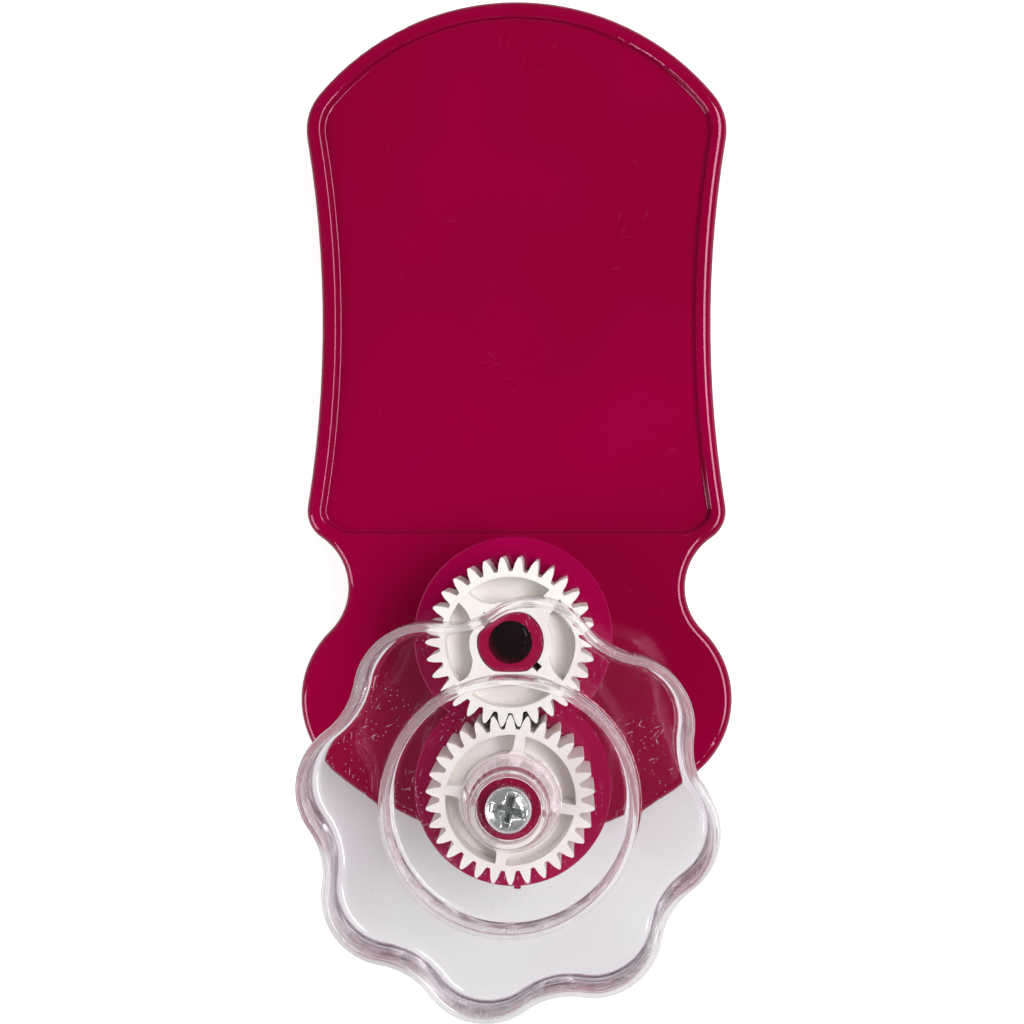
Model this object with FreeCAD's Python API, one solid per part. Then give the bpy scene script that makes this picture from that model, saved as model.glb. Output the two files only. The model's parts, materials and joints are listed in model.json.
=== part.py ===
import FreeCAD, Part
import math
import os

# Two-tier paper crimper, lying on its back on a table.
# Millimetres.  +Z up along the gear axes, +Y from the knob towards the end of
# the handle.  Everything is drawn about the drive axis, and export moves it to
# the part's origin, on the table under the middle of its overall size.
#
# A flat moulded paddle carries two pairs of meshing gears, one above the
# other.  The fine pair runs next to the paddle, a loose figure-of-eight plate
# covers it, and the coarse pair runs on that plate.  Both drive gears are
# keyed to one spindle, which comes up from under the paddle.  A clear knob
# sits on the spindle's top, held by the only screw, and overlaps the coarse
# idler, so the same screw keeps every gear in place.

V = FreeCAD.Vector
UP = V(0, 0, 1)

# ---- clearances -------------------------------------------------------------
RUN_GAP = 0.08          # radial, a part that turns on or in another
FIT_GAP = 0.05          # radial, a part that is keyed or located, not turning
FACE_GAP = 0.3          # axial, between faces that pass each other

# ---- gears ------------------------------------------------------------------
COARSE_MODULE = 0.75
COARSE_TEETH = 30
COARSE_ADDENDUM = 0.85
COARSE_DEDENDUM = 1.15
COARSE_BACKLASH = 0.10
COARSE_WIDTH = 9.8

FINE_TEETH = 45         # its module follows from the same distance of axes
FINE_ADDENDUM = 0.47
FINE_DEDENDUM = 0.63
FINE_BACKLASH = 0.08
FINE_WIDTH = 9.4

PRESSURE_ANGLE = math.radians(20)
BASE_MARGIN = 0.03      # involutes start this far outside their base circle
TIP_HEIGHT = 0.22       # height of a tip's blunting, in modules
TIP_SHARE = 0.5         # how much of the tooth's thickness its tip keeps
PLAIN_TIP_MODULE = 0.6  # teeth of a smaller module keep plain tips
ROOT_SHARE = 0.6        # how much of the gap between flanks its floor keeps
AXIS_DISTANCE = COARSE_MODULE * COARSE_TEETH
FINE_MODULE = AXIS_DISTANCE / FINE_TEETH
PITCH_RADIUS = AXIS_DISTANCE / 2

GEAR_RIM = 0.8          # ring left under the roots
GEAR_HUB_WALL = 1.08    # ring left round the bore
GEAR_WEB = 2.0          # middle disc between the two sides' pockets
GEAR_SPOKES = 4
SPOKE_WAIST = 0.6       # how far out, from hub to rim, a spoke's sweep starts
# Widths of a spoke at the rim, at its waist and at the hub: the idlers' spokes
# sweep outwards to the hub, and the drive gears' are slim and nearly straight.
IDLER_SPOKE = (2.0, 2.1, 4.6)
DRIVE_SPOKE = (1.45, 1.5, 2.2)

KEY_WIDTH = 1.0
KEY_HEIGHT = 0.9
KEY_ANGLE = -9.0        # of the spindle's first key; the second is opposite
IDLER_RIB_ANGLE = 137.0 # where the idlers' keyways happen to stand at rest

# ---- posts and spindle ------------------------------------------------------
UPPER_SHAFT_RADIUS = 4.70
LOWER_SHAFT_RADIUS = 5.60
POST_HOLE_RADIUS = 3.12
POST_TIP_CHAMFER = 0.3
JOURNAL_RADIUS = 7.0
FLANGE_RADIUS = 7.9
FLANGE_THICKNESS = 1.5
THRUST_RING_WIDTH = 1.5
THRUST_RING_HEIGHT = 0.4
SPINDLE_CORE_RADIUS = 3.0

# ---- paddle -----------------------------------------------------------------
PADDLE_HEIGHT = 9.0
PADDLE_WALL = 1.8
PADDLE_PLATE = 2.0
PANEL_RECESS = 1.2
BEAD_WIDTH = 2.65
BEAD_OUTER_FILLET = 1.4
BEAD_INNER_FILLET = 0.65
PANEL_FOOT_FILLET = 0.5
PANEL_CORNER_FILLET = 4.0
PANEL_LEDGE_Y = 37.9

HANDLE_END_Y = 122.35
SHOULDER_Y = 104.2
SHOULDER_HALF_WIDTH = 34.0
SHOULDER_FILLET = 8.8
GRIP_Y = 71.0
GRIP_HALF_WIDTH = 30.92
HIP_HALF_WIDTH = 33.9
HIP_FILLET = 5.0
NECK_Y = 29.1
NECK_HALF_WIDTH = 26.82
WING_X = 19.18
WING_Y = 11.4
WING_RADIUS = 15.1
FOOT_Y = -10.75

RIB_THICKNESS = 1.2
RIB_LIFT = 1.0          # the ribs' edges stay this far above the table
RIB_X_INNER = 7.5       # these stop at the handle's head end
RIB_X_OUTER = 20.5      # these run through the head as well
RIB_YS = (56.0, 77.0, 98.0)
GUARD_RADIUS = 8.5      # inner radius of the round rib about the flange

# ---- divider ----------------------------------------------------------------
DIVIDER_THICKNESS = 1.6
DIVIDER_RADIUS = 14.9
DIVIDER_EDGE = 0.2
GATE_WIDTH = 1.0
GATE_LENGTH = 0.6
GATE_X = 0.6

# ---- knob -------------------------------------------------------------------
KNOB_FLOOR = 2.0
KNOB_RIM_HEIGHT = 8.4
KNOB_LOBES = 8
KNOB_TIP_RADIUS = 29.45
KNOB_LOBE_DEPTH = 3.0   # of the hollows, below the lobes' tips
KNOB_LOBE_RADIUS = 9.6
KNOB_RIM_WALL = 1.1
KNOB_FOOT_CHAMFER = 0.9
KNOB_EDGE = 0.35
RING_RADIUS = 17.5      # middle of the round wall inside the rim
RING_WALL = 1.0
RING_HEIGHT = 5.2       # above the floor
HUB_TOP_RADIUS = 5.25
HUB_FOOT_RADIUS = 6.9
HUB_FOOT_FLARE = 0.7
HUB_HEIGHT = 6.1        # above the floor
SCREW_WELL_RADIUS = 4.57
SCREW_WELL_DEPTH = 2.1
SCREW_SEAT = 1.6

# ---- screw ------------------------------------------------------------------
SCREW_RADIUS = 1.45
SCREW_LENGTH = 14.0
HEAD_RADIUS = 3.22
HEAD_HEIGHT = 2.5
HEAD_DOME_HEIGHT = 0.9
HEAD_DOME_WIDTH = 1.4
PILOT_RUN_OUT = 1.0     # the pilot hole goes on this far past the screw's tip
RECESS_SPAN = 4.5
RECESS_WIDTH = 1.15
RECESS_DEPTH = 1.5

# ---- heights of the stack, from the table up --------------------------------
THRUST_Z = PADDLE_HEIGHT + THRUST_RING_HEIGHT
FINE_Z = THRUST_Z + FACE_GAP
FINE_TOP = FINE_Z + FINE_WIDTH
DIVIDER_Z = FINE_TOP + FACE_GAP
DIVIDER_TOP = DIVIDER_Z + DIVIDER_THICKNESS
COARSE_Z = DIVIDER_TOP + FACE_GAP
COARSE_TOP = COARSE_Z + COARSE_WIDTH
KNOB_Z = COARSE_TOP + FACE_GAP
KNOB_FLOOR_TOP = KNOB_Z + KNOB_FLOOR
HUB_TOP = KNOB_FLOOR_TOP + HUB_HEIGHT
SEAT_TOP = HUB_TOP - SCREW_WELL_DEPTH
SPINDLE_TOP = SEAT_TOP - SCREW_SEAT
PLATE_UNDERSIDE = PADDLE_HEIGHT - PADDLE_PLATE

IDLER_AXIS = V(0, AXIS_DISTANCE, 0)

# ---- origin: the knob's lowest lobe and the handle's end bound the length ---
LOBE_CENTRE = KNOB_TIP_RADIUS - KNOB_LOBE_RADIUS
VALLEY_RADIUS = KNOB_TIP_RADIUS - KNOB_LOBE_DEPTH
LOBE_ANGLES = [math.radians(KEY_ANGLE + n * 360 / KNOB_LOBES) for n in range(KNOB_LOBES)]
KNOB_REACH = KNOB_LOBE_RADIUS + max(-LOBE_CENTRE * math.sin(angle) for angle in LOBE_ANGLES)
ORIGIN = V(0, (HANDLE_END_Y - KNOB_REACH) / 2, 0)


def export(name, shape):
    """Write one sub-part, refusing anything that isn't one valid solid."""
    shape = shape.removeSplitter()
    if not shape.isValid() or len(shape.Solids) != 1:
        raise ValueError(f"{name}: not one valid solid")
    shape.translate(-ORIGIN)
    shape.exportStep(f"parts/{name}.step")


def cylinder(radius, z_from, z_to, centre=V(0, 0, 0)):
    return Part.makeCylinder(radius, z_to - z_from, centre + V(0, 0, z_from), UP)


def polar(radius, angle, z=0.0):
    return V(radius * math.cos(angle), radius * math.sin(angle), z)


def arc(start, middle, end):
    return Part.Arc(start, middle, end).toShape()


# An outline arc is a pair (centre, radius); a radius below zero is a hollow.
def joint(first, second, inset=0.0):
    """Where two touching arcs meet, once both have moved in by the inset."""
    share = (first[1] - inset) / (first[1] - second[1])
    return first[0] + (second[0] - first[0]) * share


def lines(*points):
    return [Part.makeLine(start, end) for start, end in zip(points, points[1:])]


def prism(wire_or_face, z_from, z_to):
    """Extrude a flat outline drawn at z = 0."""
    face = wire_or_face
    if wire_or_face.ShapeType == "Wire":
        face = Part.Face(wire_or_face)
    solid = face.extrude(V(0, 0, z_to - z_from))
    solid.translate(V(0, 0, z_from))
    return solid


def revolved(points):
    """Turn a closed profile of (radius, z) points about the Z axis."""
    wire = Part.makePolygon([V(r, 0, z) for r, z in points + points[:1]])
    return Part.Face(wire).revolve(V(0, 0, 0), UP, 360)


def edges_at(shape, z):
    """The edges of a shape that lie wholly in one level plane."""
    found = []
    for edge in shape.Edges:
        box = edge.BoundBox
        if abs(box.ZMin - z) < 1e-4 and abs(box.ZMax - z) < 1e-4:
            found.append(edge)
    return found


def upright_edges(shape, points):
    """The vertical edges of a shape that stand over the given points."""
    found = []
    for edge in shape.Edges:
        box = edge.BoundBox
        if box.XLength > 1e-4 or box.YLength > 1e-4:
            continue
        for point in points:
            if math.hypot(box.XMin - point.x, box.YMin - point.y) < 1e-3:
                found.append(edge)
    return found


# ---- gears ------------------------------------------------------------------
def involute(angle):
    return math.tan(angle) - angle


def gear_outline(module, teeth, addendum, dedendum, backlash, first_tooth):
    """Spur gear outline: involute flanks, with blunted tips on coarse teeth."""
    base_radius = PITCH_RADIUS * math.cos(PRESSURE_ANGLE)
    tip_radius = PITCH_RADIUS + addendum
    root_radius = PITCH_RADIUS - dedendum
    flank_start = max(base_radius + BASE_MARGIN, root_radius)
    blunted = module > PLAIN_TIP_MODULE
    flank_end = tip_radius - TIP_HEIGHT * module if blunted else tip_radius
    flank_radii = [flank_start, flank_end]
    # A root below the base circle gets a flank in two runs, and a tapered floor.
    undercut = flank_start > root_radius
    if undercut:
        flank_radii.insert(1, (flank_start + flank_end) / 2)
    pitch_half_angle = (math.pi * module / 2 - backlash) / (2 * PITCH_RADIUS)

    def half_angle(radius):
        at_radius = math.acos(base_radius / radius)
        return pitch_half_angle + involute(PRESSURE_ANGLE) - involute(at_radius)

    step = 2 * math.pi / teeth
    edges = []
    for number in range(teeth):
        centre = first_tooth + number * step
        right = [polar(r, centre - half_angle(r)) for r in flank_radii]
        left = [polar(r, centre + half_angle(r)) for r in reversed(flank_radii)]
        next_start = polar(flank_start, centre + step - half_angle(flank_start))
        roots = []
        if undercut:
            half_root = ROOT_SHARE * (step / 2 - half_angle(flank_start))
            roots = [polar(root_radius, centre + step / 2 + side * half_root) for side in (-1, 1)]
        tips = []
        if blunted:
            half_tip = TIP_SHARE * half_angle(flank_end)
            tips = [polar(tip_radius, centre + side * half_tip) for side in (-1, 1)]
        edges += lines(*right, *tips, *left, *roots, next_start)
    return Part.Wire(edges)


def gear_pocket(hub_radius, rim_radius, depth, spoke):
    """One of the four blind pockets beside the spokes, middle on the X axis."""
    half_turn = math.pi / GEAR_SPOKES
    waist_radius = hub_radius + SPOKE_WAIST * (rim_radius - hub_radius)

    def beside_spoke(radius, half_width, side):
        return polar(radius, side * (half_turn - math.asin(half_width / radius)))

    left, right = (
        [beside_spoke(radius, width / 2, side)
         for radius, width in zip((rim_radius, waist_radius, hub_radius), spoke)]
        for side in (1, -1))
    wire = Part.Wire([
        arc(right[0], V(rim_radius, 0, 0), left[0]),
        arc(*left),
        arc(left[2], V(hub_radius, 0, 0), right[2]),
        arc(*reversed(right)),
    ])
    return prism(wire, 0, depth)


def key_bars(shaft_radius, key_height, width, z_from, z_to):
    """Two opposite bars through a shaft, standing proud of it as keys."""
    reach = shaft_radius + key_height
    bar = Part.makeBox(2 * reach, width, z_to - z_from, V(-reach, -width / 2, z_from))
    return bar.rotate(V(0, 0, 0), UP, KEY_ANGLE)


def gear(outline, root_radius, bore_radius, width, rib_angle, spoke, pocketed_faces):
    """A moulded gear: keyed bore, and pockets sunk into its top or both faces."""
    body = prism(outline, 0, width)
    body = body.cut(cylinder(bore_radius, 0, width))
    keyway = key_bars(bore_radius, KEY_HEIGHT, KEY_WIDTH + 2 * FIT_GAP, 0, width)
    keyway.rotate(V(0, 0, 0), UP, rib_angle - KEY_ANGLE)
    body = body.cut(keyway)
    depth = (width - GEAR_WEB) / pocketed_faces
    hub_radius = bore_radius + GEAR_HUB_WALL
    rim_radius = root_radius - GEAR_RIM
    pocket = gear_pocket(hub_radius, rim_radius, depth, spoke)
    pockets = []
    for number in range(GEAR_SPOKES):
        turned = pocket.copy()
        turned.rotate(V(0, 0, 0), UP, rib_angle + (number + 0.5) * 360 / GEAR_SPOKES)
        for face in range(pocketed_faces):
            sunk = turned.copy()
            sunk.translate(V(0, 0, (width - depth) * (1 - face)))
            pockets.append(sunk)
    return body.cut(pockets)


def coarse_gear(first_tooth, bore_radius, rib_angle, spoke):
    outline = gear_outline(COARSE_MODULE, COARSE_TEETH, COARSE_ADDENDUM,
                           COARSE_DEDENDUM, COARSE_BACKLASH, first_tooth)
    root_radius = PITCH_RADIUS - COARSE_DEDENDUM
    return gear(outline, root_radius, bore_radius, COARSE_WIDTH, rib_angle, spoke, 2)


def fine_gear(first_tooth, bore_radius, rib_angle, spoke):
    outline = gear_outline(FINE_MODULE, FINE_TEETH, FINE_ADDENDUM,
                           FINE_DEDENDUM, FINE_BACKLASH, first_tooth)
    root_radius = PITCH_RADIUS - FINE_DEDENDUM
    return gear(outline, root_radius, bore_radius, FINE_WIDTH, rib_angle, spoke, 1)


def placed(shape, z, axis=V(0, 0, 0)):
    shape.translate(axis + V(0, 0, z))
    return shape


# A drive tooth points straight at the idler, and an idler gap faces it.
DRIVE_TOOTH = math.pi / 2


def idler_tooth(teeth):
    return -math.pi / 2 + math.pi / teeth


# ---- paddle -----------------------------------------------------------------
def mirrored(point):
    return V(-point.x, point.y, point.z)


def rounding(first, second, radius, near):
    """The arc that rounds the corner of two others, the one nearest a point."""
    reach_a = abs(first[1] - radius)
    reach_b = abs(second[1] - radius)
    span = second[0] - first[0]
    along = (span.Length ** 2 + reach_a ** 2 - reach_b ** 2) / (2 * span.Length)
    aside = math.sqrt(reach_a ** 2 - along ** 2)
    direction = V(span).normalize()
    foot = first[0] + direction * along
    square = V(-direction.y, direction.x, 0) * aside
    centre = min((foot + square, foot - square), key=lambda c: (c - near).Length)
    return centre, radius


def paddle_arcs():
    """The arcs of the paddle's right half, from its foot to the handle's end."""
    wing = (V(WING_X, WING_Y, 0), WING_RADIUS)
    # The foot arc passes through the lowest point and touches both wings.
    drop = WING_Y - FOOT_Y
    foot_radius = (WING_X ** 2 + drop ** 2 - WING_RADIUS ** 2) / (2 * (drop - WING_RADIUS))
    foot = (V(0, FOOT_Y + foot_radius, 0), foot_radius)
    # The neck's hollow passes through its narrowest point and touches the wing.
    inset = NECK_HALF_WIDTH - WING_X
    rise = NECK_Y - WING_Y
    neck_radius = (inset ** 2 + rise ** 2 - WING_RADIUS ** 2) / (2 * (WING_RADIUS - inset))
    neck = (V(NECK_HALF_WIDTH + neck_radius, NECK_Y, 0), -neck_radius)
    across = neck[0].x - HIP_HALF_WIDTH
    hip = V(HIP_HALF_WIDTH, NECK_Y + math.sqrt(neck_radius ** 2 - across ** 2), 0)
    shoulder = V(SHOULDER_HALF_WIDTH, SHOULDER_Y, 0)
    grip_circle = arc(hip, V(GRIP_HALF_WIDTH, GRIP_Y, 0), shoulder).Curve
    grip = (grip_circle.Center, -grip_circle.Radius)
    end_circle = arc(shoulder, V(0, HANDLE_END_Y, 0), mirrored(shoulder)).Curve
    end = (end_circle.Center, end_circle.Radius)
    hip_rounding = rounding(neck, grip, HIP_FILLET, hip)
    shoulder_rounding = rounding(grip, end, SHOULDER_FILLET, shoulder)
    return [foot, wing, neck, hip_rounding, grip, shoulder_rounding, end]


def paddle_wire(inset=0.0):
    """Outline of the paddle at z = 0, moved inwards by the inset."""
    arcs = paddle_arcs()
    joints = [joint(a, b, inset) for a, b in zip(arcs, arcs[1:])]
    sides = []
    for (centre, radius), start, end in zip(arcs[1:], joints, joints[1:]):
        outwards = ((start + end) / 2 - centre).normalize()
        sides.append((start, centre + outwards * abs(radius - inset), end))
    edges = [arc(mirrored(joints[0]), V(0, FOOT_Y + inset, 0), joints[0])]
    edges += [arc(*points) for points in sides]
    edges.append(arc(joints[-1], V(0, HANDLE_END_Y - inset, 0), mirrored(joints[-1])))
    edges += [arc(*(mirrored(point) for point in reversed(points))) for points in reversed(sides)]
    return Part.Wire(edges)


def handle_region(y_from, z_from, z_to):
    """A block over the whole width of the handle, from y_from to past its end."""
    width = 4 * SHOULDER_HALF_WIDTH
    return Part.makeBox(width, HANDLE_END_Y, z_to - z_from, V(-width / 2, y_from, z_from))


def panel_pocket():
    """The shallow panel between the handle's bead and the ledge."""
    floor_z = PADDLE_HEIGHT - PANEL_RECESS
    pocket = prism(paddle_wire(BEAD_WIDTH), floor_z, PADDLE_HEIGHT)
    pocket = pocket.common(handle_region(PANEL_LEDGE_Y, floor_z, PADDLE_HEIGHT))
    corners = [v.Point for v in pocket.Vertexes if abs(v.Y - PANEL_LEDGE_Y) < 1e-6]
    pocket = pocket.makeFillet(PANEL_CORNER_FILLET, upright_edges(pocket, corners))
    return pocket.makeFillet(PANEL_FOOT_FILLET, edges_at(pocket, floor_z))


def underside_hollow():
    """The open space under the paddle's plate, less the stiffening ribs."""
    handle_top = PLATE_UNDERSIDE - PANEL_RECESS
    head_end = PANEL_LEDGE_Y - PADDLE_PLATE
    hollow = prism(paddle_wire(PADDLE_WALL), 0, PLATE_UNDERSIDE)
    hollow = hollow.cut(handle_region(head_end, handle_top, PLATE_UNDERSIDE))
    half = RIB_THICKNESS / 2
    reach = 2 * SHOULDER_HALF_WIDTH
    ribs = []
    for x, y_from in ((RIB_X_INNER, head_end), (RIB_X_OUTER, FOOT_Y)):
        rib = Part.makeBox(RIB_THICKNESS, HANDLE_END_Y - y_from, PADDLE_HEIGHT, V(x - half, y_from, RIB_LIFT))
        ribs += [rib, rib.mirror(V(0, 0, 0), V(1, 0, 0))]
    for y in (head_end,) + RIB_YS:
        ribs.append(Part.makeBox(reach, RIB_THICKNESS, PADDLE_HEIGHT, V(-reach / 2, y - half, RIB_LIFT)))
    guard = cylinder(GUARD_RADIUS + RIB_THICKNESS, RIB_LIFT, PADDLE_HEIGHT)
    ribs.append(guard.cut(cylinder(GUARD_RADIUS, RIB_LIFT, PADDLE_HEIGHT)))
    ribs.append(cylinder(LOWER_SHAFT_RADIUS, RIB_LIFT, PADDLE_HEIGHT, IDLER_AXIS))
    for side in (-1, 1):
        start = side * (GUARD_RADIUS + half)
        span = reach / 2 - abs(start)
        corner = V(min(start, start + side * span), WING_Y - half, RIB_LIFT)
        ribs.append(Part.makeBox(span, RIB_THICKNESS, PADDLE_HEIGHT, corner))
    return hollow.cut(ribs)


def base_shell():
    """The magenta paddle: one hollow moulding with its bead, panel and post."""
    outline = paddle_wire()
    shell = prism(outline, 0, PADDLE_HEIGHT)
    shell = shell.makeFillet(BEAD_OUTER_FILLET, edges_at(shell, PADDLE_HEIGHT))
    shell = shell.cut(panel_pocket())
    inside = [e for e in edges_at(shell, PADDLE_HEIGHT) if is_panel_edge(e, outline)]
    shell = shell.makeFillet(BEAD_INNER_FILLET, inside)
    shell = shell.cut(underside_hollow())

    rings = []
    for radius, axis in ((LOWER_SHAFT_RADIUS, IDLER_AXIS), (JOURNAL_RADIUS + RUN_GAP, V(0, 0, 0))):
        ring = cylinder(radius + THRUST_RING_WIDTH, PLATE_UNDERSIDE, THRUST_Z, axis)
        rings.append(ring)
    post = cylinder(LOWER_SHAFT_RADIUS, PLATE_UNDERSIDE, DIVIDER_Z, IDLER_AXIS)
    post_tip = cylinder(UPPER_SHAFT_RADIUS, DIVIDER_Z, COARSE_TOP, IDLER_AXIS)
    post_tip = post_tip.makeChamfer(POST_TIP_CHAMFER, edges_at(post_tip, COARSE_TOP))
    shell = shell.fuse(rings + [post, post_tip])
    shell = shell.cut(cylinder(POST_HOLE_RADIUS, PLATE_UNDERSIDE, COARSE_TOP, IDLER_AXIS))
    return shell.cut(cylinder(JOURNAL_RADIUS + RUN_GAP, 0, THRUST_Z))


def is_panel_edge(edge, outline):
    """True for an edge that lies a bead's width or more inside the outline."""
    middle = edge.valueAt((edge.FirstParameter + edge.LastParameter) / 2)
    flat = Part.Vertex(V(middle.x, middle.y, 0))
    return outline.distToShape(flat)[0] > BEAD_WIDTH - 0.01


# ---- spindle and divider ----------------------------------------------------
def drive_spindle():
    """Keyed spindle: a flange under the paddle, and a seat for each gear."""
    flange_top = PLATE_UNDERSIDE - FACE_GAP
    flange_bottom = flange_top - FLANGE_THICKNESS
    spindle = cylinder(FLANGE_RADIUS, flange_bottom, flange_top)
    spindle = spindle.fuse([
        cylinder(JOURNAL_RADIUS, flange_bottom, FINE_Z),
        cylinder(LOWER_SHAFT_RADIUS, flange_bottom, COARSE_Z),
        key_bars(LOWER_SHAFT_RADIUS, KEY_HEIGHT - FIT_GAP, KEY_WIDTH, FINE_Z, FINE_TOP),
        cylinder(UPPER_SHAFT_RADIUS, COARSE_Z, SPINDLE_TOP),
        key_bars(UPPER_SHAFT_RADIUS, KEY_HEIGHT - FIT_GAP, KEY_WIDTH, COARSE_Z, SPINDLE_TOP),
    ])
    pilot_bottom = SEAT_TOP - SCREW_LENGTH - PILOT_RUN_OUT
    spindle = spindle.cut(cylinder(SCREW_RADIUS + FIT_GAP, pilot_bottom, SPINDLE_TOP))
    return spindle.cut(cylinder(SPINDLE_CORE_RADIUS, flange_bottom, FINE_TOP))


def divider_plate():
    """Figure-of-eight plate on the post's shoulder, under the coarse gears."""
    discs = [cylinder(DIVIDER_RADIUS, DIVIDER_Z, DIVIDER_TOP, axis) for axis in (V(0, 0, 0), IDLER_AXIS)]
    plate = discs[0].fuse(discs[1]).removeSplitter()
    plate = plate.makeChamfer(DIVIDER_EDGE, edges_at(plate, DIVIDER_TOP))
    gate = Part.makeBox(GATE_WIDTH, 2 * GATE_LENGTH, DIVIDER_THICKNESS / 2,
                        V(GATE_X - GATE_WIDTH / 2, -DIVIDER_RADIUS - GATE_LENGTH, DIVIDER_Z))
    plate = plate.fuse(gate)
    plate = plate.cut(cylinder(LOWER_SHAFT_RADIUS + RUN_GAP, DIVIDER_Z, DIVIDER_TOP))
    return plate.cut(cylinder(UPPER_SHAFT_RADIUS + FIT_GAP, DIVIDER_Z, DIVIDER_TOP, IDLER_AXIS))


# ---- knob -------------------------------------------------------------------
def lobed_wire(inset=0.0):
    """Outline of eight lobes and hollows, arcs that touch, moved in by the inset."""
    half_step = math.pi / KNOB_LOBES
    spread = math.cos(half_step)
    # The hollow's radius follows from its arc touching both lobes.
    top = LOBE_CENTRE ** 2 + VALLEY_RADIUS ** 2 - KNOB_LOBE_RADIUS ** 2
    top -= 2 * LOBE_CENTRE * VALLEY_RADIUS * spread
    bottom = 2 * (KNOB_LOBE_RADIUS - VALLEY_RADIUS + LOBE_CENTRE * spread)
    hollow_radius = top / bottom

    edges = []
    for angle in LOBE_ANGLES:
        lobe, following = (
            (polar(LOBE_CENTRE, angle + turn), KNOB_LOBE_RADIUS) for turn in (0, 2 * half_step))
        before, after = (
            (polar(VALLEY_RADIUS + hollow_radius, angle + turn), -hollow_radius)
            for turn in (-half_step, half_step))
        start = joint(before, lobe, inset)
        middle = joint(lobe, after, inset)
        end = joint(after, following, inset)
        edges.append(arc(start, polar(KNOB_TIP_RADIUS - inset, angle), middle))
        edges.append(arc(middle, polar(VALLEY_RADIUS - inset, angle + half_step), end))
    return Part.Wire(edges)


def grip_knob():
    """Clear dished knob: lobed rim, round stiffening wall and tapered hub."""
    rim_top = KNOB_Z + KNOB_RIM_HEIGHT
    knob = prism(lobed_wire(), KNOB_Z, rim_top)
    cavity = prism(lobed_wire(KNOB_RIM_WALL), KNOB_FLOOR_TOP, rim_top)
    knob = knob.makeChamfer(KNOB_EDGE, edges_at(knob, rim_top))
    cavity = cavity.makeChamfer(KNOB_FOOT_CHAMFER, edges_at(cavity, KNOB_FLOOR_TOP))
    knob = knob.cut(cavity)

    floor = KNOB_FLOOR_TOP
    wall = revolved([
        (RING_RADIUS - RING_WALL / 2, floor - KNOB_FLOOR / 2),
        (RING_RADIUS + RING_WALL / 2, floor - KNOB_FLOOR / 2),
        (RING_RADIUS + RING_WALL / 2, floor + RING_HEIGHT),
        (RING_RADIUS - RING_WALL / 2, floor + RING_HEIGHT),
    ])
    hub = revolved([
        (0, COARSE_TOP),
        (HUB_FOOT_RADIUS, COARSE_TOP),
        (HUB_FOOT_RADIUS, floor - KNOB_FLOOR / 2),
        (HUB_FOOT_RADIUS + HUB_FOOT_FLARE, floor),
        (HUB_FOOT_RADIUS, floor + HUB_FOOT_FLARE),
        (HUB_TOP_RADIUS, HUB_TOP),
        (0, HUB_TOP),
    ])
    knob = knob.fuse([wall, hub])

    knob = knob.cut(cylinder(SCREW_WELL_RADIUS, SEAT_TOP, HUB_TOP))
    knob = knob.cut(cylinder(SCREW_RADIUS + FACE_GAP, SPINDLE_TOP, SEAT_TOP))
    knob = knob.cut(cylinder(UPPER_SHAFT_RADIUS + FIT_GAP, COARSE_TOP, SPINDLE_TOP))
    keyway = key_bars(UPPER_SHAFT_RADIUS, KEY_HEIGHT, KEY_WIDTH + 2 * FIT_GAP, COARSE_TOP, SPINDLE_TOP)
    return knob.cut(keyway)


def knob_screw():
    """Pan-head self-tapping screw, its head down in the knob's well."""
    end_z = SEAT_TOP - SCREW_LENGTH
    head_top = SEAT_TOP + HEAD_HEIGHT
    screw = revolved([
        (0, end_z),
        (SCREW_RADIUS, end_z),
        (SCREW_RADIUS, SEAT_TOP),
        (HEAD_RADIUS, SEAT_TOP),
        (HEAD_RADIUS, head_top - HEAD_DOME_HEIGHT),
        (HEAD_RADIUS - HEAD_DOME_WIDTH, head_top),
        (0, head_top),
    ])
    for turn in (KEY_ANGLE, KEY_ANGLE + 90):
        slot = Part.makeBox(RECESS_SPAN, RECESS_WIDTH, RECESS_DEPTH,
                            V(-RECESS_SPAN / 2, -RECESS_WIDTH / 2, head_top - RECESS_DEPTH))
        screw = screw.cut(slot.rotate(V(0, 0, 0), UP, turn))
    return screw


os.makedirs("parts", exist_ok=True)
export("base_shell", base_shell())
export("drive_spindle", drive_spindle())
export("fine_drive_gear", placed(
    fine_gear(DRIVE_TOOTH, LOWER_SHAFT_RADIUS + FIT_GAP, KEY_ANGLE, DRIVE_SPOKE), FINE_Z))
export("fine_idler_gear", placed(
    fine_gear(idler_tooth(FINE_TEETH), LOWER_SHAFT_RADIUS + RUN_GAP, IDLER_RIB_ANGLE, IDLER_SPOKE),
    FINE_Z, IDLER_AXIS))
export("divider_plate", divider_plate())
export("coarse_drive_gear", placed(
    coarse_gear(DRIVE_TOOTH, UPPER_SHAFT_RADIUS + FIT_GAP, KEY_ANGLE, DRIVE_SPOKE), COARSE_Z))
export("coarse_idler_gear", placed(
    coarse_gear(idler_tooth(COARSE_TEETH), UPPER_SHAFT_RADIUS + RUN_GAP, IDLER_RIB_ANGLE, IDLER_SPOKE),
    COARSE_Z, IDLER_AXIS))
export("grip_knob", grip_knob())
export("knob_screw", knob_screw())
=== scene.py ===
import json
import math

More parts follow.
